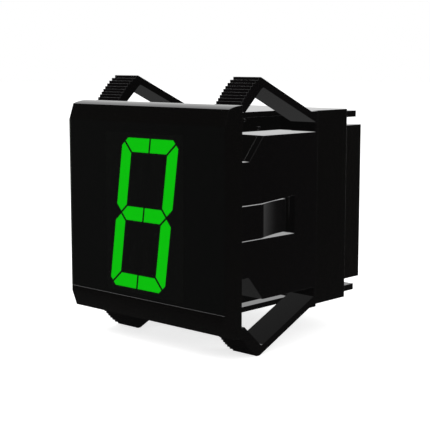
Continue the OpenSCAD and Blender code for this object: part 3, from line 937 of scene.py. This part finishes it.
def room_in_gloss(tree, look):
    """The dim room that gloss shows, with a pale backdrop and wall and a ceiling light."""
    way = place(tree, "TexCoord").outputs["Generated"]
    parts = place(tree, "SeparateXYZ", {0: way}).outputs
    height = parts["Z"]
    backdrop = pale_patch(tree, way, BACKDROP_WAY, (0.45, 0.95), (-0.35, 0.1))
    wall = pale_patch(tree, way, WALL_WAY, (0, 0.5), (0.02, 0.25))
    pale = times(tree, either(tree, backdrop, wall), eased(tree, height, 0.9, 0.4))
    ceiling = times(tree, eased(tree, height, 0.78, 0.92), CEILING_SHARE)
    below = times(tree, eased(tree, height, -0.1, -0.7), eased(tree, parts["Y"], -0.6, 0.2))
    ground = to_range(tree, below, look.ground_level, look.ground_level * GROUND_RISE, (0, 1))
    return blend_values(tree, either(tree, pale, ceiling), ground, look.sky_level)


def lay_floor(look):
    """A plain paper floor under the object, which shows white to the camera."""
    deselect()
    bpy.ops.mesh.primitive_circle_add(vertices=96, radius=FLOOR_RADIUS, fill_type="NGON",
                                      location=(0, 0, CAD_BOX[0].z))
    floor = bpy.context.active_object
    floor.name = "floor"
    paper = new_material("floor_paper")
    tree = paper.node_tree
    tones = blend_colours(tree, noise(tree, 4 * MM, 2.0), shade(look.floor_colour, 0.99),
                          shade(look.floor_colour, 1.01))
    matt = place(tree, "BsdfDiffuse", {"Color": tones})
    to_camera = place(tree, "LightPath").outputs["Is Camera Ray"]
    white = place(tree, "Emission", {
        "Color": colour((1, 1, 1)), "Strength": times(tree, to_camera, FLOOR_GLOW)})
    both = place(tree, "AddShader", {0: matt.outputs[0], 1: white.outputs[0]})
    place(tree, "OutputMaterial", {"Surface": both.outputs[0]})
    dress(floor, paper)
    floor.visible_glossy = False
    floor.visible_transmission = False


def light_room(look):
    """An even room, white to the camera, with its own look in gloss and through the filter."""
    world = bpy.data.worlds.new("studio")
    world.use_nodes = True
    tree = world.node_tree
    tree.nodes.clear()
    rays = place(tree, "LightPath").outputs
    mirrored = either(tree, rays["Is Glossy Ray"], rays["Is Transmission Ray"])
    level = blend_values(tree, mirrored, look.room_level, room_in_gloss(tree, look))
    back = place(tree, "Background", {
        "Color": colour((1, 1, 1)), "Strength": either(tree, level, rays["Is Camera Ray"])})
    place(tree, "OutputWorld", {"Surface": back.outputs[0]})
    bpy.context.scene.world = world


def stand_camera(look):
    """The camera, at its place and turned to its aim."""
    data = bpy.data.cameras.new("camera")
    data.lens = look.camera_lens
    data.sensor_width = SENSOR_WIDTH
    data.clip_start = 0.01
    data.clip_end = 20
    camera = bpy.data.objects.new("camera", data)
    bpy.context.scene.collection.objects.link(camera)
    camera.location = look.camera_place
    aim = Vector(look.camera_aim) - Vector(look.camera_place)
    camera.rotation_euler = aim.to_track_quat("-Z", "Y").to_euler()
    bpy.context.scene.camera = camera


class DISPLAY_OT_stage(bpy.types.Operator):
    """Adds the floor, the lamps and the camera"""

    bl_idname = "display.stage"
    bl_label = "Stage"

    def execute(self, context):
        look = context.scene.display_stage
        lay_floor(look)
        light_room(look)
        soft_lamp("key", KEY_PLACE, KEY_SIZE, look.key_power)
        soft_lamp("fill", FILL_PLACE, FILL_SIZE, look.fill_power)
        stand_camera(look)
        context.scene.view_settings.view_transform = "Standard"
        return {"FINISHED"}


class DISPLAY_PT_panel(bpy.types.Panel):
    """The display's pieces in the sidebar"""

    bl_idname = "DISPLAY_PT_panel"
    bl_label = "Sixteen-segment display"
    bl_space_type = "VIEW_3D"
    bl_region_type = "UI"
    bl_category = "Display"

    def draw(self, context):
        for name, settings in SETTINGS.items():
            box = self.layout.box()
            box.label(text=settings.__doc__)
            group = getattr(context.scene, name)
            for key in group.__annotations__:
                box.prop(group, key)
        for operator in OPERATORS:
            self.layout.operator(operator.bl_idname)


SETTINGS = {
    "display_casing": DISPLAY_PG_casing,
    "display_character": DISPLAY_PG_character,
    "display_electronics": DISPLAY_PG_electronics,
    "display_stage": DISPLAY_PG_stage,
}
OPERATORS = (
    DISPLAY_OT_casing,
    DISPLAY_OT_brackets,
    DISPLAY_OT_character,
    DISPLAY_OT_boards,
    DISPLAY_OT_terminals,
    DISPLAY_OT_stage,
)


def register():
    for name, settings in SETTINGS.items():
        bpy.utils.register_class(settings)
        setattr(bpy.types.Scene, name, PointerProperty(type=settings))
    for operator in OPERATORS:
        bpy.utils.register_class(operator)
    bpy.utils.register_class(DISPLAY_PT_panel)


def unregister():
    bpy.utils.unregister_class(DISPLAY_PT_panel)
    for operator in reversed(OPERATORS):
        bpy.utils.unregister_class(operator)
    for name, settings in reversed(SETTINGS.items()):
        delattr(bpy.types.Scene, name)
        bpy.utils.unregister_class(settings)


def main():
    register()
    bpy.ops.display.casing()
    bpy.ops.display.brackets()
    bpy.ops.display.character()
    bpy.ops.display.boards()
    bpy.ops.display.terminals()
    bpy.ops.display.stage()


if __name__ == "__main__":
    main()
